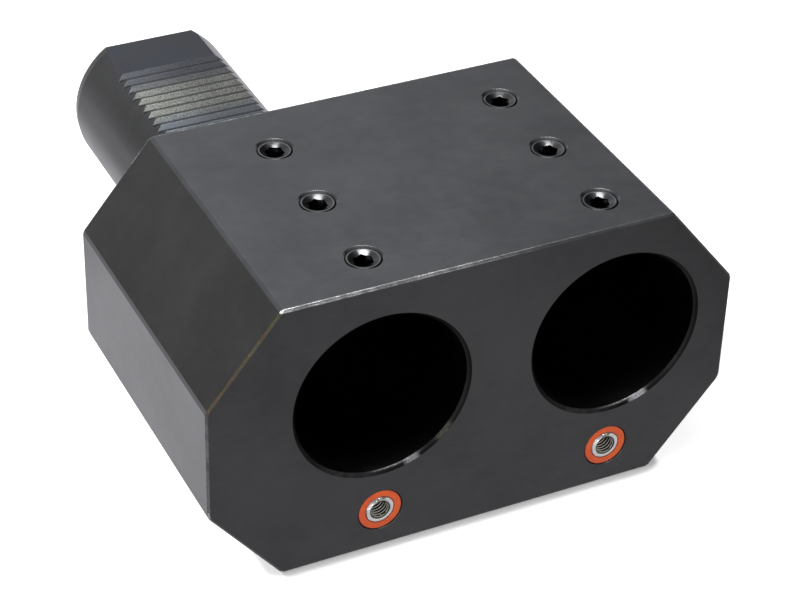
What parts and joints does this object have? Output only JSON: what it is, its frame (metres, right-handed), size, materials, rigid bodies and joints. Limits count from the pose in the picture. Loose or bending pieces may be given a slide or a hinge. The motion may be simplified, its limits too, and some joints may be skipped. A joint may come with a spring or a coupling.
{
  "type": "turret tool holder",
  "caption": "Steel block with two side by side bores for boring bars, clamp screws above, coolant nozzles in front, on a serrated straight shank.",
  "frame": {"origin": "on the shank's axis, in the face that meets the turret", "axes": "+Y along the shank away from the block, +Z towards the clamp screws and the rack, +X from the left bore to the right bore"},
  "size_m": [0.156, 0.17, 0.0865],
  "materials": {
    "blackened_steel": "black oxide",
    "blackened_screw": "black oxide, oiled",
    "polished_steel": "polished",
    "orange_plastic": "satin",
    "seal_rubber": "matt"
  },
  "bodies": {
    "holder": {"holder_block": "blackened_steel", "holder_shank": "blackened_steel", "nozzle_ring_left": "orange_plastic", "nozzle_ring_right": "orange_plastic", "nozzle_seal_left": "seal_rubber", "nozzle_seal_right": "seal_rubber", "riser_plug_left": "blackened_screw", "riser_plug_right": "blackened_screw", "cross_passage_plug": "blackened_screw", "shank_o_ring": "seal_rubber", "inlet_o_ring": "seal_rubber"},
    "clamp_screw_left_front": {"clamp_screw_left_front": "blackened_screw"},
    "clamp_screw_left_middle": {"clamp_screw_left_middle": "blackened_screw"},
    "clamp_screw_left_rear": {"clamp_screw_left_rear": "blackened_screw"},
    "clamp_screw_right_front": {"clamp_screw_right_front": "blackened_screw"},
    "clamp_screw_right_middle": {"clamp_screw_right_middle": "blackened_screw"},
    "clamp_screw_right_rear": {"clamp_screw_right_rear": "blackened_screw"},
    "nozzle_ball_left": {"nozzle_ball_left": "polished_steel"},
    "nozzle_ball_right": {"nozzle_ball_right": "polished_steel"}
  },
  "joints": [
    {"name": "clamp_left_front", "type": "slide", "parent": "holder", "child": "clamp_screw_left_front", "axis": [0, 0, -1], "range_m": [-0.004, 0.004]},
    {"name": "clamp_left_middle", "type": "slide", "parent": "holder", "child": "clamp_screw_left_middle", "axis": [0, 0, -1], "range_m": [-0.004, 0.004]},
    {"name": "clamp_left_rear", "type": "slide", "parent": "holder", "child": "clamp_screw_left_rear", "axis": [0, 0, -1], "range_m": [-0.004, 0.004]},
    {"name": "nozzle_tilt_left", "type": "hinge", "parent": "holder", "child": "nozzle_ball_left", "pos_m": [0, -0.08805, -0.03849], "axis": [1, 0, 0], "range_deg": [-15, 15]},
    {"name": "clamp_right_front", "type": "slide", "parent": "holder", "child": "clamp_screw_right_front", "axis": [0, 0, -1], "range_m": [-0.004, 0.004]},
    {"name": "clamp_right_middle", "type": "slide", "parent": "holder", "child": "clamp_screw_right_middle", "axis": [0, 0, -1], "range_m": [-0.004, 0.004]},
    {"name": "clamp_right_rear", "type": "slide", "parent": "holder", "child": "clamp_screw_right_rear", "axis": [0, 0, -1], "range_m": [-0.004, 0.004]},
    {"name": "nozzle_tilt_right", "type": "hinge", "parent": "holder", "child": "nozzle_ball_right", "pos_m": [0.07, -0.08805, -0.03849], "axis": [1, 0, 0], "range_deg": [-15, 15]}
  ]
}
